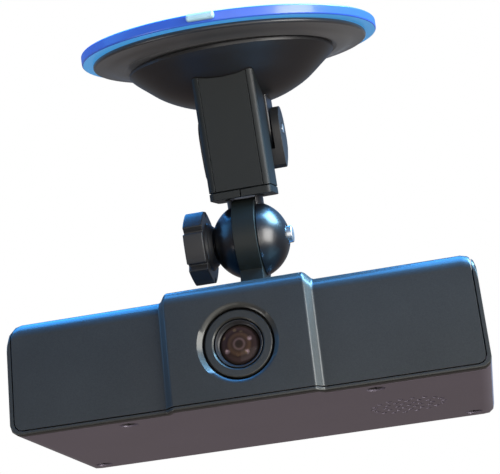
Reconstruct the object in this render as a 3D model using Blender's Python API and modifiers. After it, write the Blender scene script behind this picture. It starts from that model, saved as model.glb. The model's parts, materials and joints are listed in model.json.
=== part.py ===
"""A dash camera that hangs from a suction cup on a windscreen.

Metres, +Z up. The lens faces -Y. The origin is the centre of the outer face of the
film that covers the suction cup, which is where the windscreen goes. The camera
stays level, and the mount leans forward over it as a sloping windscreen makes it.
"""

from math import atan2, cos, pi, radians, sin, sqrt

import bmesh
import bpy
from mathutils import Matrix, Vector

MM = 0.001
GAP = 0.3  # between touching pieces

# Camera body
BODY_WIDTH = 120.0
BODY_DEPTH = 65.6
BODY_HEIGHT = 29.3
WALL = 1.8
TOP_EDGE_RADIUS = 3.4
BOTTOM_EDGE_RADIUS = 2.5
FRONT_FILLET = 4.2
REAR_FILLET = 2.6
BLOCK_HALF = 17.4  # raised middle: half width of its flat face
BLOCK_SLOPE = 2.6  # width of the slope beside it
BLOCK_OUT = 2.2  # how far it stands forward
BLOCK_RAISE = 1.65  # how far it stands above the wings
RIM = 1.25  # housing's rim round the front cover
RIM_DEPTH = 2.4
COVER_CORNER = 2.0
COVER_WRAP = 14.0  # how far the front cover reaches back over the top
TRAY_HEIGHT = 3.2  # height of the bottom cover's turned-up sides

# Lens
LENS_Z = BODY_HEIGHT / 2
BARREL_RADIUS = 6.0
GLASS_RADIUS = BARREL_RADIUS - 0.85
LENS_RING_BORE = BARREL_RADIUS + GAP
LENS_RING_RADIUS = LENS_RING_BORE + 2.25
RECESS_THROAT = LENS_RING_RADIUS + 0.55
RECESS_RADIUS = RECESS_THROAT + 1.2
HOLDER_RADIUS = LENS_RING_BORE + 1.9
HOLDER_FLANGE = RECESS_THROAT + 2.1
SENSOR_BOARD = 24.0
SENSOR_BOARD_Y = 19.5
BOARD_THICKNESS = 1.4

# Bottom: screws and speaker
FRONT_SCREW = (31.3, 6.6)
REAR_SCREW = (BODY_WIDTH / 2 - 6.0, BODY_DEPTH - 7.2)
SCREW_HEAD_RADIUS = 2.1
SCREW_HEAD_HEIGHT = 1.3
SCREW_RADIUS = 1.0
SCREW_LENGTH = 9.0
COUNTERBORE_DEPTH = 1.7
BOSS_RADIUS = 3.6
POST_RADIUS = 2.9
GRILLE_CENTRE = (37.4, 34.3)
GRILLE_PITCH = 3.1
GRILLE_HOLE_RADIUS = 0.85
GRILLE_RINGS = 3
SPEAKER_RADIUS = 13.0
SPEAKER_HEIGHT = 4.6

# Rear panel and what comes through it
PANEL_WIDTH = 88.0
PANEL_HEIGHT = 15.0
PANEL_Z = BODY_HEIGHT / 2
PANEL_LIP = 2.0
BUTTON_RADIUS = 3.3
BUTTON_SPACING = 13.0
BUTTON_STANDS_OUT = 1.0
BUTTON_X = -33.0
LIGHT_X = -10.0
CARD_X = 12.0
CARD_SIZE = (24.0, 32.0, 2.1)
INLET_X = 34.0
INLET_SIZE = (9.6, 9.0, 5.6)
BOARD_Z = PANEL_Z - 5.5  # underside of the main board
BATTERY_SIZE = (40.0, 26.0, 5.6)

# Ball head: the ball's centre from the front bottom edge of the body
HEAD_Y = 37.4
HEAD_Z = BODY_HEIGHT + BLOCK_RAISE + 22.65
BALL_RADIUS = 11.7
TONGUE_THICKNESS = 6.4
TONGUE_RADIUS = BALL_RADIUS + 0.3
TONGUE_DEPTH = 16.0
FOOT_SIZE = (26.0, 32.0, 3.0)
FOOT_SCREW = (9.0, 12.0)
FOOT_FLARE = 3.0
FOOT_SCREW_HEAD = (2.6, 1.4)  # radius and height
FOOT_SCREW_SHAFT = (1.3, 7.0)  # radius and length
BOLT_RADIUS = 1.9
BOLT_SEAT = BALL_RADIUS - 2.1  # spot face on the right pole, from the ball's centre
KNOB_SEAT = BALL_RADIUS - 1.8  # flat on the left pole
SEAT_CLEARANCE = 0.15
WASHER_RADIUS = 2.9
WASHER_THICKNESS = 0.6
BOLT_HEAD_RADIUS = 2.35
BOLT_HEAD_HEIGHT = 1.8
KNOB_RADIUS = 10.5
KNOB_LOBES = 6
KNOB_LOBE_DEPTH = 2.3
KNOB_RIM = (BALL_RADIUS + 0.3, BALL_RADIUS + 5.9)  # distances from the ball's centre
KNOB_NECK_RADIUS = 6.4  # of its hub beside the ball
INSERT_RADIUS = 3.4
NECK_RADIUS = 5.4
NECK_HEIGHT = 1.9  # of its collar, above the cap's bottom
STEM_RADIUS = 3.6

# Mount: distances from the ball's centre along the arm
LEAN = radians(16.6)
ARM_WIDTH = 18.0
ARM_FRONT = -7.0
ARM_DEPTH = 15.0
ARM_MIDDLE = ARM_FRONT + ARM_DEPTH / 2
ARM_EDGE = 1.6
ARM_WALL = 1.8
CAP_BOTTOM = BALL_RADIUS + 0.6
CAP_HEIGHT = 2.0
CLAMP_HEIGHT = 4.0
PANEL_BAND = 2.4  # arm's side band beside its front plate
CUP_Y = 16.0  # the cup's axis stands behind the ball's
COLUMN_WIDTH = 18.8
COLUMN_DEPTH = 13.0
PIN_Z = 32.0
PIN_RADIUS = 1.5
ROD_RADIUS = 2.6
ROD_TRAVEL = 2.5
ROD_HEAD_RADIUS = 8.0
ROD_HEAD_HEIGHT = 1.4
SPRING_RADIUS = ROD_RADIUS + 2.8
SPRING_WIRE = 0.5
LEVER_WIDTH = 24.2
LEVER_EAR = 2.4
HOOD_RADIUS = 30.6
HOOD_WALL = 2.0
HOOD_TOP = 54.6
FLANGE_THICKNESS = 3.8
CUP_RADIUS = 40.2
CUP_BOTTOM = HOOD_TOP + 0.6
CUP_TOP = CUP_BOTTOM + FLANGE_THICKNESS
CUP_BOSS_RADIUS = 12.0
BOSS_HEIGHT = 5.5  # how far the cup's boss hangs below its flange
BOSS_FLOOR = 1.7
FILM_RADIUS = 44.0
FILM_THICKNESS = 2.5
TAB_SIZE = (8.0, 1.8, 2.0)
TAB_ANGLE = radians(270)  # round the cup's axis, at the front

FILM_TOP = CUP_TOP + GAP + FILM_THICKNESS


def clear_scene():
    for obj in list(bpy.data.objects):
        bpy.data.objects.remove(obj, do_unlink=True)


clear_scene()
parts = bpy.data.collections.new("dash_camera")
cutters = bpy.data.collections.new("cutters")
bpy.context.scene.collection.children.link(parts)
bpy.context.scene.collection.children.link(cutters)
cutters.hide_render = True


def material(name, colour, roughness, metallic=0.0):
    made = bpy.data.materials.new(name)
    made.use_nodes = True
    shader = made.node_tree.nodes["Principled BSDF"]
    shader.inputs["Base Color"].default_value = (*colour, 1.0)
    shader.inputs["Roughness"].default_value = roughness
    shader.inputs["Metallic"].default_value = metallic
    return made


PAINT = material("charcoal_paint", (0.045, 0.055, 0.065), 0.35, 0.5)
SATIN = material("satin_case", (0.05, 0.045, 0.05), 0.4)
BLACK = material("black_plastic", (0.02, 0.02, 0.022), 0.45)
MATTE = material("arm_plastic", (0.04, 0.043, 0.045), 0.6)
GLOSS = material("gloss_black", (0.01, 0.01, 0.012), 0.12)
RUBBER = material("black_rubber", (0.02, 0.02, 0.02), 0.7)
BLUE = material("blue_film", (0.05, 0.25, 0.75), 0.2)
STEEL = material("bright_steel", (0.75, 0.76, 0.78), 0.2, 1.0)
BRASS = material("brass", (0.75, 0.55, 0.25), 0.3, 1.0)
GLASS = material("coated_glass", (0.02, 0.015, 0.02), 0.03)
BOARD = material("green_board", (0.01, 0.09, 0.04), 0.5)
CHIP = material("chip_black", (0.02, 0.02, 0.02), 0.5)
CELL = material("cell_wrap", (0.05, 0.1, 0.35), 0.4)
CLEAR = material("light_guide", (0.8, 0.85, 0.9), 0.2)


def empty(name, location, rotation=(0, 0, 0), parent=None):
    made = bpy.data.objects.new(name, None)
    made.location = Vector(location) * MM
    made.rotation_euler = rotation
    made.parent = parent
    made.empty_display_size = 0.01
    parts.objects.link(made)
    return made


# The lean tips the arm's top towards -Y, so the ball lies below and behind the film.
face_offset = Vector((0, CUP_Y, FILM_TOP))
face_offset.rotate(Matrix.Rotation(LEAN, 3, "X"))
head = empty("head_axis", -face_offset)
mount = empty("mount_axis", -face_offset, (LEAN, 0, 0))
camera = empty("camera_axis", -face_offset - Vector((0, HEAD_Y, HEAD_Z)))
cup_axis = empty("cup_axis", (0, CUP_Y, 0), parent=mount)
lever_axis = empty("lever_axis", (0, 0, PIN_Z), parent=cup_axis)


def add(name, bm, mat=None, parent=None, location=(0, 0, 0), rotation=(0, 0, 0)):
    """An object from a bmesh in millimetres. Without a material it's a cutter."""
    bmesh.ops.scale(bm, vec=(MM, MM, MM), verts=bm.verts)
    mesh = bpy.data.meshes.new(name)
    bm.to_mesh(mesh)
    bm.free()
    obj = bpy.data.objects.new(name, mesh)
    obj.location = Vector(location) * MM
    obj.rotation_euler = rotation
    obj.parent = parent
    if mat is None:
        cutters.objects.link(obj)
        obj.hide_render = True
        obj.display_type = "WIRE"
        return obj
    parts.objects.link(obj)
    mesh.materials.append(mat)
    mesh.shade_smooth()
    mesh.set_sharp_from_angle(angle=radians(35))
    return obj


def box_mesh(size, centre=(0, 0, 0), rounding=0.0, along="XYZ", segments=2):
    """A box, rounded on its edges that run along the given axes."""
    bm = bmesh.new()
    bmesh.ops.create_cube(bm, size=1.0)
    bmesh.ops.scale(bm, vec=size, verts=bm.verts)
    if rounding:
        picked = []
        for edge in bm.edges:
            run = edge.verts[1].co - edge.verts[0].co
            axis = "XYZ"[max(range(3), key=lambda i: abs(run[i]))]
            if axis in along:
                picked.append(edge)
        bmesh.ops.bevel(bm, geom=picked, offset=rounding, segments=segments, profile=0.5,
                        affect="EDGES")
    bmesh.ops.translate(bm, vec=centre, verts=bm.verts)
    return bm


def rod_mesh(radius, low, high, segments=24, tip_radius=None):
    """A cylinder or cone along Z from low to high."""
    bm = bmesh.new()
    bmesh.ops.create_cone(bm, cap_ends=True, segments=segments, radius1=radius,
                          radius2=radius if tip_radius is None else tip_radius,
                          depth=high - low, matrix=Matrix.Translation((0, 0, (low + high) / 2)))
    return bm


def turned(name, profile, mat=None, parent=None, location=(0, 0, 0), rotation=(0, 0, 0),
           steps=32, closed=False):
    """A profile of (radius, height) turned about Z. It runs down its outer side."""
    bm = bmesh.new()
    verts = [bm.verts.new((r, 0, z)) for r, z in profile]
    for first, second in zip(verts, verts[1:]):
        bm.edges.new((first, second))
    if closed:
        bm.edges.new((verts[-1], verts[0]))
    obj = add(name, bm, mat, parent, location, rotation)
    screw = obj.modifiers.new("turn", "SCREW")
    screw.steps = screw.render_steps = steps
    screw.use_merge_vertices = True
    screw.merge_threshold = 0.00001
    screw.use_smooth_shade = True
    return obj


def outline(name, points, low, high, mat=None, parent=None, location=(0, 0, 0),
            rotation=(0, 0, 0)):
    """A flat outline filled and extruded from low to high along Z, as a mesh."""
    curve = bpy.data.curves.new(name, "CURVE")
    curve.dimensions = "2D"
    curve.fill_mode = "BOTH"
    curve.extrude = (high - low) / 2 * MM
    spline = curve.splines.new("POLY")
    spline.points.add(len(points) - 1)
    for slot, (x, y) in zip(spline.points, points):
        slot.co = (x * MM, y * MM, 0, 1)
    spline.use_cyclic_u = True
    guide = bpy.data.objects.new(name + "_guide", curve)
    parts.objects.link(guide)
    graph = bpy.context.evaluated_depsgraph_get()
    mesh = bpy.data.meshes.new_from_object(guide.evaluated_get(graph))
    bpy.data.objects.remove(guide, do_unlink=True)
    bm = bmesh.new()
    bm.from_mesh(mesh)
    bpy.data.meshes.remove(mesh)
    bmesh.ops.remove_doubles(bm, verts=bm.verts, dist=0.000001)
    bmesh.ops.recalc_face_normals(bm, faces=bm.faces)
    bmesh.ops.translate(bm, vec=(0, 0, (low + high) / 2 * MM), verts=bm.verts)
    bmesh.ops.scale(bm, vec=(1 / MM, 1 / MM, 1 / MM), verts=bm.verts)
    return add(name, bm, mat, parent, location, rotation)


def boolean(target, tool, operation="DIFFERENCE"):
    modifier = target.modifiers.new(tool.name, "BOOLEAN")
    modifier.operation = operation
    modifier.object = tool
    modifier.solver = "EXACT"


def cut(target, *tools):
    for tool in tools:
        boolean(target, tool)


def join(target, *tools):
    for tool in tools:
        boolean(target, tool, "UNION")


def arc(centre_x, centre_y, radius, start, end, segments):
    """Points on an arc, with its angles in degrees."""
    found = []
    for i in range(segments + 1):
        angle = radians(start + (end - start) * i / segments)
        found.append((centre_x + radius * cos(angle), centre_y + radius * sin(angle)))
    return found


def rounded_rectangle(x0, x1, y0, y1, radii, segments):
    """Corner radii run from low x, low y clockwise, seen with x right and y up."""
    a, b, c, d = radii
    return (arc(x0 + a, y0 + a, a, 270, 180, segments) + arc(x0 + b, y1 - b, b, 180, 90, segments)
            + arc(x1 - c, y1 - c, c, 90, 0, segments) + arc(x1 - d, y0 + d, d, 0, -90, segments))


def loft(name, rings, mat=None, parent=None):
    """A closed solid through rings that have equal numbers of points."""
    bm = bmesh.new()
    loops = [[bm.verts.new(point) for point in ring] for ring in rings]
    count = len(loops[0])
    for near, far in zip(loops, loops[1:]):
        for i in range(count):
            j = (i + 1) % count
            bm.faces.new((near[i], near[j], far[j], far[i]))
    bm.faces.new(loops[0][::-1])
    bm.faces.new(loops[-1])
    bmesh.ops.recalc_face_normals(bm, faces=bm.faces)
    return add(name, bm, mat, parent)


# ---- camera body ----

def block_share(x):
    """1 on the raised middle, 0 on the wings, an S curve between."""
    along = (abs(x) - BLOCK_HALF) / BLOCK_SLOPE
    return 0.5 + 0.5 * cos(pi * min(max(along, 0.0), 1.0))


def edge_drop(x, half, radius):
    over = abs(x) - (half - radius)
    return radius - sqrt(max(radius ** 2 - max(over, 0.0) ** 2, 0.0))


def body_stations(half):
    slope = [BLOCK_HALF + BLOCK_SLOPE * i / 4 for i in range(5)]
    corner = [half - TOP_EDGE_RADIUS * (1 - sin(radians(a))) for a in (0, 30, 60, 90)]
    right = slope + corner
    return [-x for x in right[::-1]] + right


def body_ring(x, half, inset, front=0.0, bottom=0.0, rear=0.0):
    """The body's section at x. inset moves all sides in, the others move one side further."""
    share = block_share(x)
    top = BODY_HEIGHT + BLOCK_RAISE * share - edge_drop(x, half, TOP_EDGE_RADIUS) - inset
    low = edge_drop(x, half, BOTTOM_EDGE_RADIUS) + inset + bottom
    y0 = -BLOCK_OUT * share + inset + front
    y1 = BODY_DEPTH - inset - rear
    radii = (0.5, max(FRONT_FILLET - inset - front, 1.0), REAR_FILLET, 1.2)
    section = rounded_rectangle(y0, y1, low, top, radii, 4)
    return [(x, y, z) for y, z in section]


def body_solid(name, inset=0.0, half=None, mat=None, **moves):
    half = BODY_WIDTH / 2 - inset if half is None else half
    rings = [body_ring(x, half, inset, **moves) for x in body_stations(half)]
    return loft(name, rings, mat, camera)


def front_zone(name, grow):
    """The space of the front cover: the front, and the top as far as the wrap."""
    half = BODY_WIDTH / 2 - RIM + grow
    low = RIM - grow
    inner = WALL + FRONT_FILLET + grow
    under = BODY_HEIGHT - FRONT_FILLET - WALL - grow
    wrap = COVER_WRAP + grow
    points = [(-10, low), (inner, low), (inner, under), (wrap, under), (wrap, 50), (-10, 50)]
    zone = loft(name, [[(x, y, z) for y, z in points] for x in (-half, half)], None, camera)
    bevel = zone.modifiers.new("corners", "BEVEL")
    bevel.limit_method = "WEIGHT"
    bevel.width = (COVER_CORNER + grow) * MM
    bevel.segments = 3
    weights = zone.data.attributes.new("bevel_weight_edge", "FLOAT", "EDGE")
    for edge in zone.data.edges:
        first, second = (zone.data.vertices[i].co / MM for i in edge.vertices)
        if abs(first.z - low) + abs(second.z - low) + abs(first.x - second.x) < 0.01:
            weights.data[edge.index].value = 1.0
    return zone


def bottom_zone(name, grow):
    """The space of the bottom cover: below the tray's height and behind the rim."""
    half = BODY_WIDTH / 2 + 5
    rings = []
    for x in [-half] + body_stations(BODY_WIDTH / 2)[4:-4] + [half]:
        front = RIM_DEPTH - grow - BLOCK_OUT * block_share(x)
        rear = BODY_DEPTH + 5
        high = TRAY_HEIGHT + grow
        rings.append([(x, front, -5), (x, front, high), (x, rear, high), (x, rear, -5)])
    return loft(name, rings, None, camera)


def screw_places():
    for y_name, (x, y) in (("front", FRONT_SCREW), ("rear", REAR_SCREW)):
        for x_name, side in (("left", -1), ("right", 1)):
            yield f"{y_name}_{x_name}", side * x, y


def case_post(name, x, y, top, mat=None):
    return add(name, rod_mesh(POST_RADIUS, 0, top, 20), mat, camera,
               (x, y, TRAY_HEIGHT + GAP))


def build_case():
    cavity = body_solid("cavity", WALL)
    front_cover = body_solid("front_cover", mat=PAINT)
    boolean(front_cover, front_zone("cover_zone", 0.0), "INTERSECT")
    cut(front_cover, body_solid("behind_cover", WALL, BODY_WIDTH / 2 + 5, bottom=-10, rear=-10))
    throat = add("lens_throat", rod_mesh(RECESS_THROAT, -6, 6, 48), None, camera,
                 (0, 0, LENS_Z), (pi / 2, 0, 0))
    cone = turned("lens_cone", [(0, 3), (RECESS_RADIUS + 2, 3), (RECESS_RADIUS, 0.0),
                                (RECESS_THROAT - 0.6, -1.5), (0, -1.5)], None, camera,
                  (0, -BLOCK_OUT, LENS_Z), (pi / 2, 0, 0), steps=48)
    housing = body_solid("housing", mat=PAINT)
    cut(housing, cavity, front_zone("cover_room", GAP), bottom_zone("tray_room", GAP))
    tray = body_solid("bottom_cover", mat=SATIN)
    cut(tray, cavity)
    boolean(tray, bottom_zone("tray_zone", 0.0), "INTERSECT")
    post_top = BODY_HEIGHT - WALL / 2 - TRAY_HEIGHT - GAP
    for name, x, y in screw_places():
        owner = front_cover if name.startswith("front") else housing
        join(owner, case_post("post_" + name, x, y, post_top))
        hole = rod_mesh(SCREW_RADIUS + GAP, -1, SCREW_LENGTH, 16)
        cut(owner, add("pilot_" + name, hole, None, camera, (x, y, TRAY_HEIGHT)))
        boss = rod_mesh(BOSS_RADIUS, WALL / 2, TRAY_HEIGHT, 24)
        join(tray, add("boss_" + name, boss, None, camera, (x, y, 0)))
        sink = rod_mesh(SCREW_HEAD_RADIUS + GAP, -1, COUNTERBORE_DEPTH, 24)
        through = rod_mesh(SCREW_RADIUS + GAP, -1, TRAY_HEIGHT + 1, 16)
        cut(tray, add("sink_" + name, sink, None, camera, (x, y, 0)),
            add("through_" + name, through, None, camera, (x, y, 0)))
    cut(front_cover, throat, cone)
    for i, (x, y) in enumerate(grille_holes()):
        hole = rod_mesh(GRILLE_HOLE_RADIUS, -1, WALL + 1, 8)
        cut(tray, add(f"grille_hole_{i}", hole, None, camera, (x, y, 0)))
    opening = add("panel_opening", box_mesh((PANEL_WIDTH, 10, PANEL_HEIGHT), rounding=2, along="Y"),
                  None, camera, (0, BODY_DEPTH, PANEL_Z))
    cut(housing, opening)


def grille_holes():
    x, y = GRILLE_CENTRE
    yield x, y
    for ring in range(1, GRILLE_RINGS + 1):
        for i in range(6 * ring):
            angle = 2 * pi * i / (6 * ring)
            reach = ring * GRILLE_PITCH
            yield x + reach * cos(angle), y + reach * sin(angle)


def pan_screw(name, head_radius, head_height, radius, length, mat, parent, location, rotation):
    """Its head's outer face is at the location, and it points along local +Z."""
    profile = [(0, length), (radius, length), (radius, head_height),
               (head_radius, head_height), (head_radius, 0.4), (head_radius - 0.4, 0), (0, 0)]
    obj = turned(name, profile, mat, parent, location, rotation, steps=14)
    across = head_radius * 1.1
    for i, size in enumerate(((across, 0.5, 0.9), (0.5, across, 0.9))):
        slot = add(f"{name}_slot_{i}", box_mesh(size), None, parent, location, rotation)
        cut(obj, slot)
    return obj


def build_screws():
    depth = COUNTERBORE_DEPTH - GAP / 2 - SCREW_HEAD_HEIGHT
    for name, x, y in screw_places():
        pan_screw("case_screw_" + name, SCREW_HEAD_RADIUS, SCREW_HEAD_HEIGHT, SCREW_RADIUS,
                  SCREW_LENGTH, STEEL, camera, (x, y, depth), (0, 0, 0))


def build_lens():
    face = {"location": (0, 0, LENS_Z), "rotation": (pi / 2, 0, 0), "parent": camera}
    turned("lens_ring", [(LENS_RING_RADIUS - 0.3, 1.3), (LENS_RING_RADIUS, 1.0),
                         (LENS_RING_RADIUS, -2.2), (LENS_RING_BORE, -2.2),
                         (LENS_RING_BORE, 1.1), (LENS_RING_BORE + 0.2, 1.3)],
           PAINT, steps=36, closed=True, **face)
    bore = BARREL_RADIUS - 1.7
    turned("lens_barrel", [(BARREL_RADIUS - 0.2, 1.0), (BARREL_RADIUS, 0.8),
                           (BARREL_RADIUS, -14.5), (bore - 1, -14.5), (bore - 1, -8.0),
                           (bore, -8.0), (bore, -2.4), (GLASS_RADIUS + 0.2, -2.4),
                           (GLASS_RADIUS + 0.2, 0.2)], BLACK, steps=32, closed=True, **face)
    dome = [(GLASS_RADIUS * sin(radians(a)), -1.0 + 1.4 * cos(radians(a))) for a in (0, 22, 45, 68, 90)]
    turned("front_lens", dome + [(GLASS_RADIUS, -2.1), (0, -2.1)], GLASS, steps=28, **face)
    turned("rear_lens", [(0, -4.4), (2.2, -4.7), (bore - GAP, -5.4), (bore - GAP, -7.6), (0, -7.6)],
           GLASS, steps=24, **face)
    low = 2 * GAP - SENSOR_BOARD_Y
    turned("lens_holder", [(HOLDER_FLANGE, -3.2), (HOLDER_FLANGE, -5.0), (HOLDER_RADIUS, -5.6),
                           (HOLDER_RADIUS, low), (LENS_RING_BORE, low), (LENS_RING_BORE, -3.2)],
           BLACK, steps=28, closed=True, **face)


def build_electronics():
    middle = (0, SENSOR_BOARD_Y + BOARD_THICKNESS / 2, LENS_Z)
    add("sensor_board", box_mesh((SENSOR_BOARD, BOARD_THICKNESS, SENSOR_BOARD)), BOARD, camera, middle)
    chip_depth = 1.6
    add("image_sensor", box_mesh((8, chip_depth, 7), rounding=0.2), CHIP, camera,
        (0, SENSOR_BOARD_Y - GAP - chip_depth / 2, LENS_Z))
    front = SENSOR_BOARD_Y + BOARD_THICKNESS + 2
    rear = REAR_SCREW[1] - POST_RADIUS - 2
    size = (BODY_WIDTH - 20, rear - front, BOARD_THICKNESS)
    add("main_board", box_mesh(size), BOARD, camera,
        (0, (front + rear) / 2, BOARD_Z + BOARD_THICKNESS / 2))
    deck = BOARD_Z + BOARD_THICKNESS + GAP
    add("processor", box_mesh((12, 12, 1.6), rounding=0.2), CHIP, camera, (40, front + 9, deck + 0.8))
    add("battery", box_mesh(BATTERY_SIZE, rounding=2.4, along="X", segments=4), CELL, camera,
        (-28, front + 1 + BATTERY_SIZE[1] / 2, deck + BATTERY_SIZE[2] / 2))
    floor = WALL + GAP
    speaker = [(0, SPEAKER_HEIGHT), (SPEAKER_RADIUS * 0.6, SPEAKER_HEIGHT),
               (SPEAKER_RADIUS * 0.6, SPEAKER_HEIGHT - 1.6), (SPEAKER_RADIUS, SPEAKER_HEIGHT - 2.4),
               (SPEAKER_RADIUS, 0), (SPEAKER_RADIUS - 1.5, 0), (SPEAKER_RADIUS - 3.5, 1.4), (0, 0.8)]
    turned("speaker", speaker, BLACK, camera, (*GRILLE_CENTRE, floor), steps=28)
    return deck


def build_rear(deck):
    inside = BODY_DEPTH - WALL - GAP
    lip = (PANEL_WIDTH + 2 * PANEL_LIP, 1.4, PANEL_HEIGHT + 2 * PANEL_LIP)
    panel = add("rear_panel", box_mesh(lip, rounding=1.5, along="Y"), BLACK, camera,
                (0, inside - 0.7, PANEL_Z))
    face = (PANEL_WIDTH - 2 * GAP, WALL + GAP, PANEL_HEIGHT - 2 * GAP)
    join(panel, add("panel_face", box_mesh(face, rounding=1.8, along="Y"), None, camera,
                    (0, inside + face[1] / 2 - 0.3, PANEL_Z)))
    buttons = ("record_button", "lock_button")
    for i, name in enumerate(buttons):
        place = (BUTTON_X + i * BUTTON_SPACING, BODY_DEPTH, PANEL_Z)
        turn = (-pi / 2, 0, 0)
        behind = -WALL - GAP - 1.4
        flange = behind - GAP - 0.9
        turned(name, [(0, BUTTON_STANDS_OUT), (BUTTON_RADIUS - 0.5, BUTTON_STANDS_OUT),
                      (BUTTON_RADIUS, BUTTON_STANDS_OUT - 0.5), (BUTTON_RADIUS, behind - GAP),
                      (BUTTON_RADIUS + 1, behind - GAP), (BUTTON_RADIUS + 1, flange),
                      (0, flange)], BLACK, camera, place, turn, steps=28)
        cut(panel, add(name + "_hole", rod_mesh(BUTTON_RADIUS + GAP, -9, 3, 28), None, camera,
                       place, turn))
        switch_high = 7.0
        add(name.replace("button", "switch"), box_mesh((6, 3.4, switch_high), rounding=0.3), CHIP, camera,
            (place[0], BODY_DEPTH + flange - 1.2 - 1.7, deck + switch_high / 2 - 0.6))
    light = (LIGHT_X, BODY_DEPTH, PANEL_Z)
    turned("status_light", [(0, 0.3), (1.0, 0.15), (1.4, -0.3), (1.4, -6.0), (0, -6.0)], CLEAR,
           camera, light, (-pi / 2, 0, 0), steps=16)
    cut(panel, add("light_hole", rod_mesh(1.4 + GAP, -9, 3, 16), None, camera, light, (-pi / 2, 0, 0)))
    build_card(panel, deck)
    build_inlet(panel, deck)


def build_card(panel, deck):
    width, length, thick = CARD_SIZE
    floor = 1.2
    card_z = deck + floor + GAP + thick / 2
    stands_out = 1.6
    card_y = BODY_DEPTH + stands_out - length / 2
    add("memory_card", box_mesh(CARD_SIZE, rounding=1.0, along="Z"), BLACK, camera,
        (CARD_X, card_y, card_z))
    socket_rear = BODY_DEPTH - WALL - GAP - 1.4 - GAP
    socket_front = card_y - length / 2 - 1.5
    depth = socket_rear - socket_front
    high = thick + 2 * GAP + 2 * floor
    socket = add("card_socket", box_mesh((width + 4, depth, high)), STEEL, camera,
                 (CARD_X, (socket_rear + socket_front) / 2, card_z))
    room = (width + 2 * GAP, depth, thick + 2 * GAP)
    cut(socket, add("card_room", box_mesh(room), None, camera,
                    (CARD_X, (socket_rear + socket_front) / 2 + 1.2, card_z)))
    cut(panel, add("card_slot", box_mesh((width + 2, 14, thick + 1.4), rounding=0.6, along="Y"),
                   None, camera, (CARD_X, BODY_DEPTH, card_z)))


def build_inlet(panel, deck):
    wide, deep, high = INLET_SIZE
    middle = (INLET_X, BODY_DEPTH - 0.5 - deep / 2, deck + high / 2)
    inlet = add("power_inlet", box_mesh(INLET_SIZE, rounding=0.6, along="Y"), STEEL, camera, middle)
    mouth = (wide - 1.6, deep - 1.5, high - 1.6)
    mouth_y = middle[1] + 1.5
    cut(inlet, add("inlet_mouth", box_mesh(mouth, rounding=0.8, along="Y"), None, camera,
                   (INLET_X, mouth_y, middle[2])))
    add("inlet_contacts", box_mesh((wide - 4.2, deep - 3.6, 1.2), rounding=0.2), BLACK, camera,
        (INLET_X, middle[1] + 0.8, middle[2]))
    cut(panel, add("inlet_hole", box_mesh((wide + 2 * GAP, 20, high + 2 * GAP), rounding=0.6, along="Y"),
                   None, camera, (INLET_X, BODY_DEPTH, middle[2])))


# ---- ball head ----

def build_foot():
    """The plate on the camera and the tongue that turns in the ball's slot."""
    half = TONGUE_THICKNESS / 2
    plate_low = BODY_HEIGHT + BLOCK_RAISE + GAP - HEAD_Z
    strap = TONGUE_DEPTH / 2
    reach = atan2(-sqrt(TONGUE_RADIUS ** 2 - strap ** 2), strap)
    start = reach * 180 / pi
    side = arc(0, 0, TONGUE_RADIUS, start, 180 - start, 28)
    low = plate_low + FOOT_SIZE[2] / 2
    base = [(-strap, low + FOOT_FLARE), (-strap - FOOT_FLARE, low), (strap + FOOT_FLARE, low),
            (strap, low + FOOT_FLARE)]
    # The outline's x runs along Y and its y along Z once it's turned.
    tongue = outline("foot", side + base, -half, half, BLACK, head, rotation=(pi / 2, 0, pi / 2))
    plate = add("foot_plate", box_mesh(FOOT_SIZE, rounding=3, along="Z", segments=4), None, head,
                (0, 0, plate_low + FOOT_SIZE[2] / 2))
    join(tongue, plate)
    cut(tongue, add("tongue_bore", rod_mesh(BOLT_RADIUS + GAP, -20, 20, 28), None, head,
                    rotation=(0, pi / 2, 0)))
    top = plate_low + FOOT_SIZE[2]
    x, y = FOOT_SCREW
    head_radius, head_height = FOOT_SCREW_HEAD
    shaft_radius, shaft_length = FOOT_SCREW_SHAFT
    for name, sx, sy in (("front_left", -1, -1), ("front_right", 1, -1), ("rear_left", -1, 1),
                         ("rear_right", 1, 1)):
        place = (sx * x, sy * y, top)
        shaft_room = shaft_radius + GAP
        cut(tongue, add("foot_hole_" + name, rod_mesh(shaft_room, -9, 1, 16), None, head, place),
            add("foot_sink_" + name, rod_mesh(head_radius + GAP, -head_height - 0.2, 1, 20), None, head,
                place))
        for owner in ("front_cover", "housing"):
            hole = rod_mesh(shaft_room, -shaft_length - 5, 1, 16)
            cut(bpy.data.objects[owner], add(f"{owner}_foot_hole_{name}", hole, None, head, place))
        pan_screw("foot_screw_" + name, head_radius, head_height, shaft_radius, shaft_length, STEEL,
                  head, (place[0], place[1], top - 0.05), (pi, 0, 0))


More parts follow.
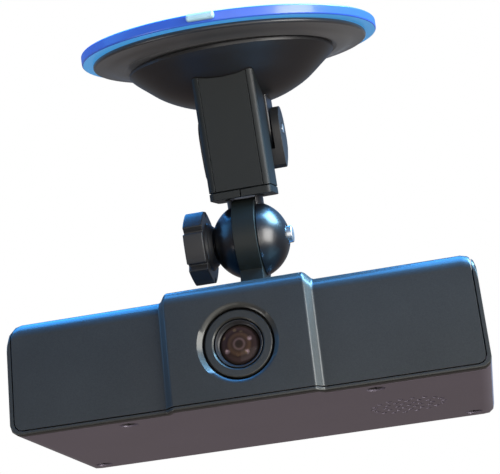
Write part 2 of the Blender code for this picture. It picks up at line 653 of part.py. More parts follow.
def build_fork():
    bm = bmesh.new()
    bmesh.ops.create_uvsphere(bm, u_segments=28, v_segments=16, radius=BALL_RADIUS)
    fork = add("ball_fork", bm, GLOSS, mount, rotation=(0, 0, 0))
    slot_top = TONGUE_RADIUS + GAP + 0.2
    stem_high = CAP_BOTTOM + CAP_HEIGHT + CLAMP_HEIGHT + 4
    neck_low = BALL_RADIUS - 4.7
    neck = turned("neck", [(0, stem_high), (STEM_RADIUS - 0.4, stem_high), (STEM_RADIUS, stem_high - 0.4),
                           (STEM_RADIUS, stem_high - 1), (STEM_RADIUS - 1, stem_high - 1),
                           (STEM_RADIUS - 1, stem_high - 2.6), (STEM_RADIUS, stem_high - 2.6),
                           (STEM_RADIUS, CAP_BOTTOM + NECK_HEIGHT), (NECK_RADIUS, CAP_BOTTOM + NECK_HEIGHT),
                           (NECK_RADIUS, neck_low + 2), (NECK_RADIUS + 0.8, neck_low), (0, neck_low)],
                  None, mount, steps=36)
    join(fork, neck)
    half = TONGUE_THICKNESS / 2 + GAP
    cut(fork, add("fork_slot", box_mesh((2 * half, 40, 40)), None, mount, (0, 0, slot_top - 20)))
    cut(fork, add("fork_bore", rod_mesh(BOLT_RADIUS + GAP, -30, 30, 28), None, mount,
                  rotation=(0, pi / 2, 0)))
    along = (0, pi / 2, 0)
    cut(fork, add("knob_seat", box_mesh((10, 30, 30)), None, mount, (-KNOB_SEAT - 5, 0, 0)),
        add("bolt_seat", rod_mesh(WASHER_RADIUS + GAP, BOLT_SEAT, BALL_RADIUS + 2, 28), None, mount,
            rotation=along))
    clip_low = stem_high - 2.6 + 0.2
    turned("neck_clip", [(STEM_RADIUS + 1.0, clip_low + 1.2), (STEM_RADIUS + 1.0, clip_low),
                         (STEM_RADIUS - 0.7, clip_low), (STEM_RADIUS - 0.7, clip_low + 1.2)],
           STEEL, mount, steps=28, closed=True)


def build_bolt():
    """The bolt clamps the ball's halves on the tongue. Its head is on +X, the knob on -X."""
    along = (0, pi / 2, 0)
    seat = BOLT_SEAT + SEAT_CLEARANCE
    turned("bolt_washer", [(WASHER_RADIUS, seat + WASHER_THICKNESS), (WASHER_RADIUS, seat),
                           (BOLT_RADIUS + GAP, seat), (BOLT_RADIUS + GAP, seat + WASHER_THICKNESS)],
           STEEL, mount, rotation=along, steps=28, closed=True)
    head_low = seat + WASHER_THICKNESS + SEAT_CLEARANCE
    top = head_low + BOLT_HEAD_HEIGHT
    tip = -KNOB_RIM[1] + 2.5
    turned("clamp_bolt", [(0, top), (BOLT_HEAD_RADIUS - 0.6, top), (BOLT_HEAD_RADIUS, top - 0.6),
                          (BOLT_HEAD_RADIUS, head_low), (BOLT_RADIUS, head_low), (BOLT_RADIUS, tip),
                          (0, tip)], STEEL, mount, rotation=along, steps=28)


def knob_outline():
    points = []
    per_lobe = 10
    count = KNOB_LOBES * per_lobe
    for i in range(count):
        angle = 2 * pi * i / count
        wave = 0.5 - 0.5 * cos(KNOB_LOBES * angle)
        radius = KNOB_RADIUS - KNOB_LOBE_DEPTH * (1 - wave ** 0.6)
        points.append((radius * cos(angle), radius * sin(angle)))
    return points


def build_knob():
    """A lobed rim and a hub that narrows to the ball, on a brass insert."""
    near, far = KNOB_RIM
    out = (0, -pi / 2, 0)
    knob = outline("knob", knob_outline(), near, far, BLACK, mount, rotation=out)
    seat = KNOB_SEAT + GAP
    hub = turned("knob_hub", [(0, far - 1), (KNOB_NECK_RADIUS + 0.8, near + 1),
                              (KNOB_NECK_RADIUS, near - 0.6), (KNOB_NECK_RADIUS - 0.9, seat), (0, seat)],
                 None, mount, rotation=out, steps=36)
    join(knob, hub)
    room = INSERT_RADIUS + GAP
    cut(knob, add("insert_room", rod_mesh(room, seat + 2, far + 2, 24), None, mount, rotation=out),
        add("knob_bore", rod_mesh(BOLT_RADIUS + GAP, 0, far + 2, 24), None, mount, rotation=out))
    turned("knob_insert", [(INSERT_RADIUS, far - 1.0), (INSERT_RADIUS, seat + 2 + GAP),
                           (BOLT_RADIUS + GAP, seat + 2 + GAP), (BOLT_RADIUS + GAP, far - 1.0)],
           BRASS, mount, rotation=out, steps=24, closed=True)


# ---- arm ----

def build_arm():
    low = CAP_BOTTOM + CAP_HEIGHT + GAP
    high = CUP_BOTTOM
    tall = high - low
    arm = add("arm_body", box_mesh((ARM_WIDTH, ARM_DEPTH, tall), rounding=ARM_EDGE, along="Z", segments=4),
              MATTE, mount, (0, ARM_MIDDLE, low + tall / 2))
    inside = (ARM_WIDTH - 2 * ARM_WALL, ARM_DEPTH - 2 * ARM_WALL, tall + 10)
    cut(arm, add("arm_hollow", box_mesh(inside), None, mount, (0, ARM_MIDDLE, low + tall / 2)))
    width = ARM_WIDTH - 2 * PANEL_BAND
    window = (width + 2 * GAP, 2 * ARM_WALL + 1, tall + 10)
    cut(arm, add("arm_window", box_mesh(window), None, mount, (0, ARM_FRONT, low + tall / 2)))
    plate_deep = ARM_WALL + 0.2
    plate = add("arm_front", box_mesh((width, plate_deep, tall - 0.2)), MATTE, mount,
                (0, ARM_FRONT + plate_deep / 2 + 0.05, low + tall / 2 + 0.1))
    for piece, grow in ((arm, GAP), (plate, GAP + 0.02)):
        cut(piece, hood_solid(f"{piece.name}_hood_room", grow, None))
    build_clamps(low)


def build_clamps(low):
    """Two half caps that close the arm and hold the neck between them."""
    half = ARM_WIDTH / 2
    for name, side in (("clamp_left", -1), ("clamp_right", 1)):
        wide = half - GAP / 2
        block = box_mesh((ARM_WIDTH, ARM_DEPTH, CAP_HEIGHT), rounding=ARM_EDGE, along="Z", segments=4)
        cap = add(name, block, MATTE, mount, (0, ARM_MIDDLE, CAP_BOTTOM + CAP_HEIGHT / 2))
        plug = (ARM_WIDTH - 2 * ARM_WALL - 2 * GAP, ARM_DEPTH - 2 * ARM_WALL - 3 * GAP, CLAMP_HEIGHT + 1)
        join(cap, add(name + "_plug", box_mesh(plug), None, mount,
                      (0, ARM_MIDDLE + GAP / 2, CAP_BOTTOM + CAP_HEIGHT + CLAMP_HEIGHT / 2 - 0.5)))
        keep = add(name + "_half", box_mesh((wide, 60, 60)), None, mount,
                   (side * (GAP / 2 + wide / 2), 0, CAP_BOTTOM))
        boolean(cap, keep, "INTERSECT")
        neck_room = rod_mesh(NECK_RADIUS + GAP, -5, NECK_HEIGHT + GAP, 36)
        stem_room = rod_mesh(STEM_RADIUS + GAP, -5, 20, 28)
        cut(cap, add(name + "_neck", neck_room, None, mount, (0, 0, CAP_BOTTOM)),
            add(name + "_stem", stem_room, None, mount, (0, 0, CAP_BOTTOM)))


# ---- suction cup ----

HOOD_CURVE = [(1.0, 0.0), (1.0, -1.2), (0.955, -2.6), (0.88, -4.5), (0.74, -7.9), (0.6, -10.3),
              (0.45, -12.1), (0.3, -13.0), (0.15, -13.4)]


def hood_profile(grow):
    """The hood's outer side: shares of its radius, and heights below its top."""
    return [(HOOD_RADIUS * share + grow, HOOD_TOP + drop - grow * min(1, -drop / 3))
            for share, drop in HOOD_CURVE]


def hood_solid(name, grow, mat):
    """The hood's outer shape, filled, with room all round it."""
    outer = hood_profile(grow)
    top = [(0, HOOD_TOP + 20), (CUP_RADIUS + 5, HOOD_TOP + 20), (CUP_RADIUS + 5, HOOD_TOP)]
    return turned(name, top + outer + [(0, outer[-1][1])], mat, cup_axis, steps=36)


def build_hood():
    outer = hood_profile(0.0)
    inner = []
    for r, z in outer:
        share = 1 - (HOOD_TOP - z) / 20
        inner.append((max(r - HOOD_WALL * share, 0), z + HOOD_WALL * (1 - share) * 1.4))
    inner = [(r, min(z, HOOD_TOP)) for r, z in inner]
    inner[0] = (HOOD_RADIUS - HOOD_WALL, HOOD_TOP)
    inside = [point for point in inner if point[0] > ROD_RADIUS + 2]
    profile = [(0, inside[-1][1])] + inside[::-1] + outer + [(0, outer[-1][1])]
    hood = turned("hood", profile, BLACK, cup_axis, steps=36)
    round_end = COLUMN_DEPTH / 2
    side = arc(0, 0, round_end, 180, 360, 12)
    points = side + [(round_end, HOOD_TOP - 12 - PIN_Z), (-round_end, HOOD_TOP - 12 - PIN_Z)]
    half = COLUMN_WIDTH / 2
    column = outline("column", points, -half, half, None, lever_axis, rotation=(pi / 2, 0, pi / 2))
    join(hood, column)
    cut(hood, add("rod_bore", rod_mesh(ROD_RADIUS + GAP, 10, HOOD_TOP, 24), None, cup_axis))
    slot_low, slot_high = -PIN_RADIUS - GAP, ROD_TRAVEL + PIN_RADIUS + GAP + 0.2
    slot = (COLUMN_WIDTH + 10, 2 * PIN_RADIUS + 2 * GAP, slot_high - slot_low)
    cut(hood, add("pin_slot", box_mesh(slot), None, lever_axis, (0, 0, (slot_low + slot_high) / 2)))


def build_rod():
    """The rod pulls the middle of the cup. Its head sits in a pocket in the cup's boss."""
    head_low = CUP_BOTTOM - BOSS_HEIGHT + BOSS_FLOOR + 0.5
    low = PIN_Z - PIN_RADIUS - GAP - 2.4
    head_high = head_low + ROD_HEAD_HEIGHT
    rod = turned("pull_rod", [(0, head_high), (ROD_HEAD_RADIUS, head_high), (ROD_HEAD_RADIUS, head_low),
                              (ROD_RADIUS, head_low), (ROD_RADIUS, low), (0, low)],
                 STEEL, cup_axis, steps=28)
    cut(rod, add("pin_hole", rod_mesh(PIN_RADIUS + GAP, -9, 9, 20), None, lever_axis,
                 rotation=(0, pi / 2, 0)))
    half = LEVER_WIDTH / 2 + 0.2
    add("lever_pin", rod_mesh(PIN_RADIUS, -half, half, 20), STEEL, lever_axis, rotation=(0, pi / 2, 0))
    points = []
    turns, per_turn = 3, 20
    spring_low, spring_high = HOOD_TOP - 9.0, CUP_BOTTOM - BOSS_HEIGHT - 0.9
    for i in range(turns * per_turn + 1):
        angle = 2 * pi * i / per_turn
        rise = spring_low + (spring_high - spring_low) * i / (turns * per_turn)
        points.append((SPRING_RADIUS * cos(angle), SPRING_RADIUS * sin(angle), rise))
    curve = bpy.data.curves.new("cup_spring", "CURVE")
    curve.dimensions = "3D"
    curve.bevel_depth = SPRING_WIRE * MM
    curve.bevel_resolution = 1
    curve.use_fill_caps = True
    spline = curve.splines.new("POLY")
    spline.points.add(len(points) - 1)
    for slot, point in zip(spline.points, points):
        slot.co = (*(Vector(point) * MM), 1)
    spring = bpy.data.objects.new("cup_spring", curve)
    spring.parent = cup_axis
    curve.materials.append(STEEL)
    parts.objects.link(spring)


def build_lever():
    """Two ears on the pin, joined below the column by the web that a thumb lifts."""
    ear = 7.2
    handle = [(-ear, -4), (-6.6, -9), (-5.8, -12.2), (-4.4, -13.2), (-2.2, -12.6), (2.6, -9.6), (6.6, -6),
              (7.6, -3)]
    points = arc(0, 0, ear, 0, 180, 12) + handle
    half = LEVER_WIDTH / 2
    lever = outline("lever", points, -half, half, BLACK, lever_axis, rotation=(pi / 2, 0, pi / 2))
    between = half - LEVER_EAR
    # The handle's web clears the column's round end also when the rod has risen.
    room = COLUMN_DEPTH / 2 + 2 * GAP + ROD_TRAVEL
    cut(lever, add("ear_gap", rod_mesh(room, -between, between, 40), None, lever_axis,
                   rotation=(0, pi / 2, 0)))
    cut(lever, add("lever_hole", rod_mesh(PIN_RADIUS + GAP, -20, 20, 20), None, lever_axis,
                   rotation=(0, pi / 2, 0)))


def build_cup():
    """The rubber cup, its face hollowed, and the film that covers it."""
    pocket = ROD_HEAD_RADIUS + 2 * GAP
    boss_low = CUP_BOTTOM - BOSS_HEIGHT
    floor = boss_low + BOSS_FLOOR
    ceiling = floor + 0.5 + ROD_HEAD_HEIGHT + ROD_TRAVEL + 0.4
    throat = ROD_RADIUS + 2 * GAP
    profile = [(0, CUP_TOP - 1.8), (CUP_RADIUS - 18, CUP_TOP - 1.3), (CUP_RADIUS - 4, CUP_TOP - 0.1),
               (CUP_RADIUS - 1, CUP_TOP), (CUP_RADIUS, CUP_TOP - 0.8), (CUP_RADIUS, CUP_BOTTOM + 0.6),
               (CUP_RADIUS - 0.8, CUP_BOTTOM), (CUP_BOSS_RADIUS + 0.2, CUP_BOTTOM),
               (CUP_BOSS_RADIUS, boss_low), (throat, boss_low), (throat, floor), (pocket, floor),
               (pocket, ceiling), (0, ceiling)]
    turned("suction_cup", profile, RUBBER, cup_axis, steps=48)
    low = CUP_TOP + GAP
    turned("film", [(0, FILM_TOP), (FILM_RADIUS - 0.6, FILM_TOP), (FILM_RADIUS, FILM_TOP - 0.6),
                    (FILM_RADIUS, low + 0.4), (FILM_RADIUS - 0.4, low), (0, low)], BLUE, cup_axis, steps=48)
    reach = FILM_RADIUS + GAP + TAB_SIZE[1] / 2
    add("pull_tab", box_mesh(TAB_SIZE, rounding=0.5), BLUE, cup_axis,
        (reach * cos(TAB_ANGLE), reach * sin(TAB_ANGLE), low + TAB_SIZE[2] / 2 + 0.2),
        (0, 0, TAB_ANGLE + pi / 2))


build_case()
build_screws()
build_lens()
build_rear(build_electronics())
build_foot()
build_fork()
build_bolt()
build_knob()
build_arm()
build_hood()
build_rod()
build_lever()
build_cup()
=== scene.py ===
import json
from math import atan2, cos, pi, radians, sin

import bmesh
import bpy
from mathutils import Matrix, Vector

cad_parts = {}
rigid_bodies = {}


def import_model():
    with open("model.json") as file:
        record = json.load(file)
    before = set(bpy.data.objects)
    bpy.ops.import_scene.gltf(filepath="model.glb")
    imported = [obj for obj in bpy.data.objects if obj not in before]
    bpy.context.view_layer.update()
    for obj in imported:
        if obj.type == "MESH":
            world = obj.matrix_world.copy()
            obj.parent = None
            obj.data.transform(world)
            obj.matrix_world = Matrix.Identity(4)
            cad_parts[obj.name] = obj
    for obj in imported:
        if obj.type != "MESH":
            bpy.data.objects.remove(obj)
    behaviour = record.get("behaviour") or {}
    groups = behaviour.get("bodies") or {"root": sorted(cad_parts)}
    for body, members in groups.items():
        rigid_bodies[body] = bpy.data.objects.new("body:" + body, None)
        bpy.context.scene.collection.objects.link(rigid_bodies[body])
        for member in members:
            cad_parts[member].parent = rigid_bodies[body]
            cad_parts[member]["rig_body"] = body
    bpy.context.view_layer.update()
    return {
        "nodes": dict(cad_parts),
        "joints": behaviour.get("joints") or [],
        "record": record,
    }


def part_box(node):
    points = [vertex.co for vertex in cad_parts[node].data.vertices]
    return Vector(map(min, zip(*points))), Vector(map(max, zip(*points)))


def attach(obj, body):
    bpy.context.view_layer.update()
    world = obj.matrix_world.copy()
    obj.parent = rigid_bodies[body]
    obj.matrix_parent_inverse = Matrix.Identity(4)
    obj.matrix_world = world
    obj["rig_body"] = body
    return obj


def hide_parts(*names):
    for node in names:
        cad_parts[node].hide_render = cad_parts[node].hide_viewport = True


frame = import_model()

record = frame["record"]
nodes = frame["nodes"]
slotOf = {part["node"]: part["material_slot"] for part in record["subparts"]}
joints = {joint["name"]: joint for joint in frame["joints"]}
mm = 0.001
finishes = {}

glassFace = next(mount for mount in record["mounts"] if mount["name"] == "glass_face")
mountAxis = Vector(glassFace["axis"])
lean = atan2(-mountAxis.y, mountAxis.z)  # the mount leans back over a camera that hangs level
ballCentre = Vector(joints["neck_turn"]["pos_m"])
pinCentre = Vector(joints["lever_flip"]["pos_m"])


def leaning(centre):  # a frame at this point with its Z along the arm
    return Matrix.Translation(centre) @ Matrix.Rotation(lean, 4, "X")


cupPlace = leaning(glassFace["pos_m"])
armPlace = leaning(ballCentre)
pinPlace = leaning(pinCentre)
headPlace = Matrix.Translation(ballCentre)


def reach(name, place):  # lowest and highest corner of a CAD node in a turned frame, in mm
    back = place.inverted()
    points = [back @ vert.co / mm for vert in nodes[name].data.vertices]
    low = Vector([min(point[i] for point in points) for i in range(3)])
    high = Vector([max(point[i] for point in points) for i in range(3)])
    return low, high


class Wire:  # a socket that takes part in sums
    def __init__(self, tree, socket):
        self.tree = tree
        self.socket = socket

    def sum(self, operation, first, second):
        return self.tree.node("ShaderNodeMath", {"operation": operation}, {0: first, 1: second})

    def __add__(self, other):
        return self.sum("ADD", self, other)

    def __radd__(self, other):
        return self.sum("ADD", other, self)

    def __sub__(self, other):
        return self.sum("SUBTRACT", self, other)

    def __rsub__(self, other):
        return self.sum("SUBTRACT", other, self)

    def __mul__(self, other):
        return self.sum("MULTIPLY", self, other)

    def __rmul__(self, other):
        return self.sum("MULTIPLY", other, self)

    def __gt__(self, other):
        return self.sum("GREATER_THAN", self, other)

    def __lt__(self, other):
        return self.sum("LESS_THAN", self, other)


class Tree:  # the nodes of a material or of the world
    def __init__(self, owner):
        owner.use_nodes = True
        self.tree = owner.node_tree

    def node(self, kind, settings=None, inputs=None, output=0):
        made = self.tree.nodes.new(kind)
        for label, value in (settings or {}).items():
            if label == "stops":
                while len(made.color_ramp.elements) < len(value):
                    made.color_ramp.elements.new(0.5)
                for element, (place, colour) in zip(made.color_ramp.elements, value):
                    element.position = place
                    element.color = (*colour, 1.0)
            else:
                setattr(made, label, value)
        for label, value in (inputs or {}).items():
            if isinstance(value, Wire):
                self.tree.links.new(value.socket, made.inputs[label])
            else:
                made.inputs[label].default_value = value
        return Wire(self, made.outputs[output])

    def ramp(self, value, stops):
        return self.node("ShaderNodeValToRGB", {"stops": stops}, {"Fac": value})


class Finish(Tree):
    def __init__(self, name, colour, roughness, metallic=0.0, fixed=None):
        self.material = bpy.data.materials.new(name)
        super().__init__(self.material)
        self.shader = self.tree.nodes["Principled BSDF"]
        self.colour = (*colour, 1.0)
        constants = {"Base Color": self.colour, "Roughness": roughness, "Metallic": metallic,
                     **(fixed or {})}
        for label, value in constants.items():
            self.shader.inputs[label].default_value = value
        finishes[name] = self

    def feed(self, label, value):
        self.tree.links.new(value.socket, self.shader.inputs[label])

    def place(self, centre=(0, 0, 0)):
        here = self.node("ShaderNodeTexCoord", output="Object")
        return self.node("ShaderNodeMapping", {"vector_type": "TEXTURE"},
                         {"Vector": here, "Location": centre})

    def noise(self, where, scale, detail=2.0, roughness=0.5):
        return self.node("ShaderNodeTexNoise", None,
                         {"Vector": where, "Scale": scale, "Detail": detail, "Roughness": roughness})

    def cells(self, where, scale, output="Distance"):
        return self.node("ShaderNodeTexVoronoi", {"feature": "F1"},
                         {"Vector": where, "Scale": scale}, output)

    def tint(self, mask, other):  # from the finish's own colour to another
        return self.blend(mask, self.colour, (*other, 1.0))

    def blend(self, mask, first, second):
        return self.node("ShaderNodeMix", {"data_type": "RGBA"}, {0: mask, 6: first, 7: second}, output=2)

    def bump(self, height, strength, distance):
        inputs = {"Height": height, "Strength": strength, "Distance": distance}
        self.feed("Normal", self.node("ShaderNodeBump", None, inputs))


def mouldedFinish(name, colour, lighter, roughness, grain, depth, fixed=None):
    # spark-eroded plastic: a fine grain with a faint cloud of wear
    made = Finish(name, colour, roughness, fixed=fixed)
    here = made.place()
    cloud = made.noise(here, scale=90.0, detail=3.0)
    fine = made.noise(here, scale=grain, roughness=0.6)
    made.feed("Base Color", made.tint(cloud * 0.7 + fine * 0.3, lighter))
    made.feed("Roughness", roughness - 0.05 + cloud * 0.06 + fine * 0.05)
    made.bump(fine, 0.35, depth)


def paintFinish(name, colour, lighter, roughness):
    # metal flake under a thin clear coat
    made = Finish(name, colour, roughness, 0.55, {"Coat Roughness": 0.12, "Coat Weight": 0.25})
    here = made.place()
    cloud = made.noise(here, scale=55.0, detail=3.0)
    spark = made.node("ShaderNodeSeparateColor", None, {"Color": made.cells(here, 5200.0, "Color")})
    peel = made.noise(here, scale=900.0, detail=1.0)
    made.feed("Base Color", made.tint(cloud * 0.55 + spark * 0.45, lighter))
    made.feed("Roughness", roughness - 0.04 + cloud * 0.05 + spark * 0.05)
    made.bump(peel * 0.5 + spark * 0.5, 0.12, 0.00003)


def metalFinish(name, colour, lighter, roughness, grain):
    made = Finish(name, colour, roughness, 1.0)
    here = made.place()
    fine = made.noise(here, scale=grain, detail=3.0, roughness=0.65)
    made.feed("Base Color", made.tint(made.noise(here, scale=260.0), lighter))
    made.feed("Roughness", roughness - 0.06 + fine * 0.16)
    made.bump(fine, 0.2, 0.00002)


def boardFinish():
    board = {"green": (0.006, 0.075, 0.03), "track": (0.012, 0.16, 0.06), "pad": (0.62, 0.5, 0.25, 1.0)}
    black, white = (0, 0, 0, 1), (1, 1, 1, 1)
    made = Finish("circuitBoard", board["green"], 0.38, fixed={"Coat Weight": 0.3})
    here = made.place()
    tracks = made.node("ShaderNodeTexBrick", {"offset": 0.5, "squash": 1.0},
                       {"Vector": here, "Scale": 260.0, "Mortar Size": 0.06, "Color1": black,
                        "Color2": black, "Mortar": white})
    pads = made.cells(here, 420.0) < 0.22
    made.feed("Base Color", made.blend(pads, made.tint(tracks, board["track"]), board["pad"]))
    made.bump(tracks, 0.3, 0.00004)


def lensFinish(centre, radius):
    # coated glass: rings of painted reflection round a dark pupil, with painted glints of reflected light in
    # amber and rose, in patches
    glass = {"rings": [(0.0, (0.004, 0.003, 0.004)), (0.17, (0.012, 0.007, 0.008)),
                       (0.25, (0.09, 0.055, 0.05)), (0.34, (0.022, 0.012, 0.01)),
                       (0.5, (0.05, 0.026, 0.016)), (0.62, (0.014, 0.008, 0.009)),
                       (0.8, (0.032, 0.019, 0.022)), (0.93, (0.008, 0.006, 0.008))],
             "haze": (0.06, 0.04, 0.022, 1.0), "amber": (0.36, 0.26, 0.12, 1.0),
             "rose": (0.62, 0.42, 0.42, 1.0), "glintsWithin": 0.85}
    made = Finish("lensGlass", (0.01, 0.006, 0.008), 0.04,
                  fixed={"Coat Weight": 0.0, "IOR": 1.3, "Specular IOR Level": 0.2})
    here = made.place(centre)
    across = made.node("ShaderNodeVectorMath", {"operation": "MULTIPLY"}, {0: here, 1: (1, 0, 1)})
    length = made.node("ShaderNodeVectorMath", {"operation": "LENGTH"}, {0: across}, output="Value")
    share = length * (1 / radius)
    coated = made.blend(made.noise(here, scale=210.0, detail=1.0) * 0.4, made.ramp(share, glass["rings"]),
                        glass["haze"])
    # painted glints: small bright cells, kept to patches and to the middle of the glass
    glintSpots = made.ramp(made.cells(here, 400.0), [(0.0, (1, 1, 1)), (0.17, (0.35, 0.35, 0.35)),
                                                (0.34, (0, 0, 0))])
    glintPatches = made.ramp(made.noise(here, scale=520.0, detail=3.0), [(0.42, (0, 0, 0)), (0.62, (1, 1, 1))])
    warm = made.blend(made.noise(here, scale=300.0) > 0.5, glass["amber"], glass["rose"])
    made.feed("Base Color", made.blend(glintSpots * glintPatches * (share < glass["glintsWithin"]), coated, warm))


def filmFinish(name, colour, lighter, roughness, glow=0.0):
    # painted glow: the film emits a soft glow in its lighter colour, standing in for light that comes
    # through it
    made = Finish(name, colour, roughness, fixed={"Coat Weight": 0.3, "Coat Roughness": 0.12,
                                                  "Emission Color": (*lighter, 1.0),
                                                  "Emission Strength": glow})
    here = made.place()
    made.feed("Base Color", made.tint(made.noise(here, scale=38.0), lighter))
    made.feed("Roughness", roughness + made.noise(here, scale=700.0) * 0.08)
    made.bump(made.noise(here, scale=130.0, detail=1.0), 0.15, 0.0001)


paintFinish("casePaint", (0.031, 0.0315, 0.028), (0.05, 0.051, 0.046), 0.42)
paintFinish("caseBottom", (0.21, 0.185, 0.235), (0.29, 0.255, 0.32), 0.36)
mouldedFinish("blackPlastic", (0.013, 0.013, 0.014), (0.022, 0.022, 0.023), 0.42, 2600.0, 0.00004)
mouldedFinish("hoodPlastic", (0.012, 0.012, 0.013), (0.02, 0.02, 0.021), 0.36, 1800.0, 0.00003)
mouldedFinish("armPlastic", (0.0025, 0.0045, 0.0048), (0.0045, 0.0075, 0.008), 0.5, 3200.0, 0.00006,
              {"Specular IOR Level": 0.4})
mouldedFinish("tonguePlastic", (0.005, 0.0075, 0.0065), (0.009, 0.012, 0.0105), 0.5, 3600.0, 0.00005,
              {"Specular IOR Level": 0.4})
mouldedFinish("glossBlack", (0.004, 0.004, 0.005), (0.006, 0.006, 0.008), 0.3, 900.0, 0.00001,
              {"Coat Weight": 0.25, "Coat Roughness": 0.2})
mouldedFinish("cupRubber", (0.016, 0.017, 0.019), (0.026, 0.027, 0.03), 0.34, 1500.0, 0.00004,
              {"Sheen Weight": 0.15})
mouldedFinish("chipBlack", (0.012, 0.012, 0.012), (0.03, 0.03, 0.03), 0.5, 3000.0, 0.00004)
mouldedFinish("lightGuide", (0.6, 0.68, 0.75), (0.8, 0.87, 0.92), 0.15, 900.0, 0.00001)
# one blue film in three copies: the underside copy is painted much lighter and has the strongest painted
# glow, for light coming through the film
filmFinish("filmEdge", (0.02, 0.08, 0.45), (0.035, 0.12, 0.55), 0.3, 0.25)
filmFinish("filmUndersideLit", (0.04, 0.27, 0.62), (0.065, 0.34, 0.72), 0.4, 0.68)
filmFinish("filmTop", (0.008, 0.03, 0.17), (0.012, 0.045, 0.22), 0.45, 0.1)
filmFinish("tabFilm", (0.3, 0.52, 0.62), (0.42, 0.62, 0.7), 0.35, 0.12)
filmFinish("cellWrap", (0.012, 0.03, 0.2), (0.02, 0.05, 0.3), 0.3)
metalFinish("steel", (0.66, 0.69, 0.72), (0.82, 0.85, 0.88), 0.36, 2400.0)
metalFinish("darkSteel", (0.03, 0.028, 0.03), (0.05, 0.047, 0.05), 0.34, 2400.0)
metalFinish("brass", (0.68, 0.47, 0.2), (0.8, 0.6, 0.3), 0.3, 2000.0)
boardFinish()
glassLow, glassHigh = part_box("front_lens")
lensFinish((glassLow + glassHigh) / 2, (glassHigh.x - glassLow.x) / 2)
print("finishes:", len(finishes))


def dress(piece, looks, sharp):
    for look in [looks] if isinstance(looks, str) else looks:
        piece.data.materials.append(finishes[look].material)
    piece.data.shade_smooth()
    piece.data.set_sharp_from_angle(angle=radians(sharp))
    weighted = piece.modifiers.new("normals", "WEIGHTED_NORMAL")
    weighted.keep_sharp = True


def added(name, bm):  # a bmesh made into an object in the scene
    mesh = bpy.data.meshes.new(name)
    bm.to_mesh(mesh)
    bm.free()
    made = bpy.data.objects.new(name, mesh)
    bpy.context.scene.collection.objects.link(made)
    return made


def finished(name, bm, looks, body, stands=(), place=None, sharp=32):
    bmesh.ops.remove_doubles(bm, verts=bm.verts, dist=0.0005)
    bmesh.ops.recalc_face_normals(bm, faces=bm.faces)
    bmesh.ops.transform(bm, matrix=(place or Matrix()) @ Matrix.Scale(mm, 4), verts=bm.verts)
    piece = added(name, bm)
    dress(piece, looks, sharp)
    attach(piece, body)
    if stands:
        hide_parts(*stands)


def turned(profile, steps=72):  # a profile of radius and height, spun round Z
    bm = bmesh.new()
    verts = [bm.verts.new((r, 0, z)) for r, z in profile]
    edges = [bm.edges.new(pair) for pair in zip(verts, verts[1:])]
    bmesh.ops.spin(bm, geom=verts + edges, axis=(0, 0, 1), cent=(0, 0, 0), dvec=(0, 0, 0),
                   angle=2 * pi, steps=steps, use_merge=True)
    bmesh.ops.remove_doubles(bm, verts=bm.verts, dist=0.0005)
    bmesh.ops.dissolve_degenerate(bm, edges=bm.edges, dist=0.0001)
    return bm


def plug(radius, top, bottom, steps=40):  # a plain round tool
    return turned([(0, top), (radius, top), (radius, bottom), (0, bottom)], steps)


def alongX(bm):  # turns a piece made along Z to lie along X
    bmesh.ops.rotate(bm, matrix=Matrix.Rotation(pi / 2, 3, "Y"), verts=bm.verts)
    return bm


def upright(bm):  # stands an outline drawn in X and Y up in Y and Z
    bmesh.ops.transform(bm, matrix=Matrix(((0, 0, 1), (1, 0, 0), (0, 1, 0))).to_4x4(), verts=bm.verts)
    return bm


def smoothLine(points, per=4):  # a curve through the points
    ends = [points[0]] + points + [points[-1]]
    found = []
    for a, b, c, d in zip(ends, ends[1:], ends[2:], ends[3:]):
        for i in range(per):
            t = i / per
            found.append(tuple(0.5 * (2 * q + (r - p) * t + (2 * p - 5 * q + 4 * r - s) * t * t
                                      + (3 * q - p - 3 * r + s) * t ** 3)
                               for p, q, r, s in zip(a, b, c, d)))
    return found + [points[-1]]


def corner(x, y, radius, start, end, count=5):  # a rounded corner of a profile, from angle to angle
    angles = [radians(start + (end - start) * i / count) for i in range(count + 1)]
    return [(x + radius * cos(angle), y + radius * sin(angle)) for angle in angles]


def cornered(wide, deep, radius, count=6):  # a rectangle with round corners
    x, y = wide / 2 - radius, deep / 2 - radius
    return (corner(x, y, radius, 0, 90, count) + corner(-x, y, radius, 90, 180, count)
            + corner(-x, -y, radius, 180, 270, count) + corner(x, -y, radius, 270, 360, count))


def domed(radius, top, rise, angles):  # a shallow dome's profile, from its crown to its edge
    return [(radius * sin(radians(a)), top - rise + rise * cos(radians(a))) for a in angles]


def bevelSharp(bm, width, segments=2, angle=30):
    edges = [edge for edge in bm.edges if len(edge.link_faces) == 2
             and edge.calc_face_angle(0.0) > radians(angle)]
    bmesh.ops.bevel(bm, geom=edges, offset=width, offset_type="OFFSET", affect="EDGES",
                    segments=segments, profile=0.5, material=-1, clamp_overlap=True)


def block(size, centre=(0, 0, 0), rounding=0.0, segments=3):
    bm = bmesh.new()
    bmesh.ops.create_cube(bm, size=1.0)
    bmesh.ops.scale(bm, vec=size, verts=bm.verts)
    if rounding:
        bevelSharp(bm, rounding, segments)
    bmesh.ops.translate(bm, vec=centre, verts=bm.verts)
    return bm


def slab(points, low, high, rounding):  # an outline drawn out along Z
    bm = bmesh.new()
    face = bm.faces.new([bm.verts.new((x, y, low)) for x, y in points])
    made = bmesh.ops.extrude_face_region(bm, geom=[face])
    top = [item for item in made["geom"] if isinstance(item, bmesh.types.BMVert)]
    bmesh.ops.translate(bm, vec=(0, 0, high - low), verts=top)
    bmesh.ops.recalc_face_normals(bm, faces=bm.faces)
    bevelSharp(bm, rounding, 3)
    return bm


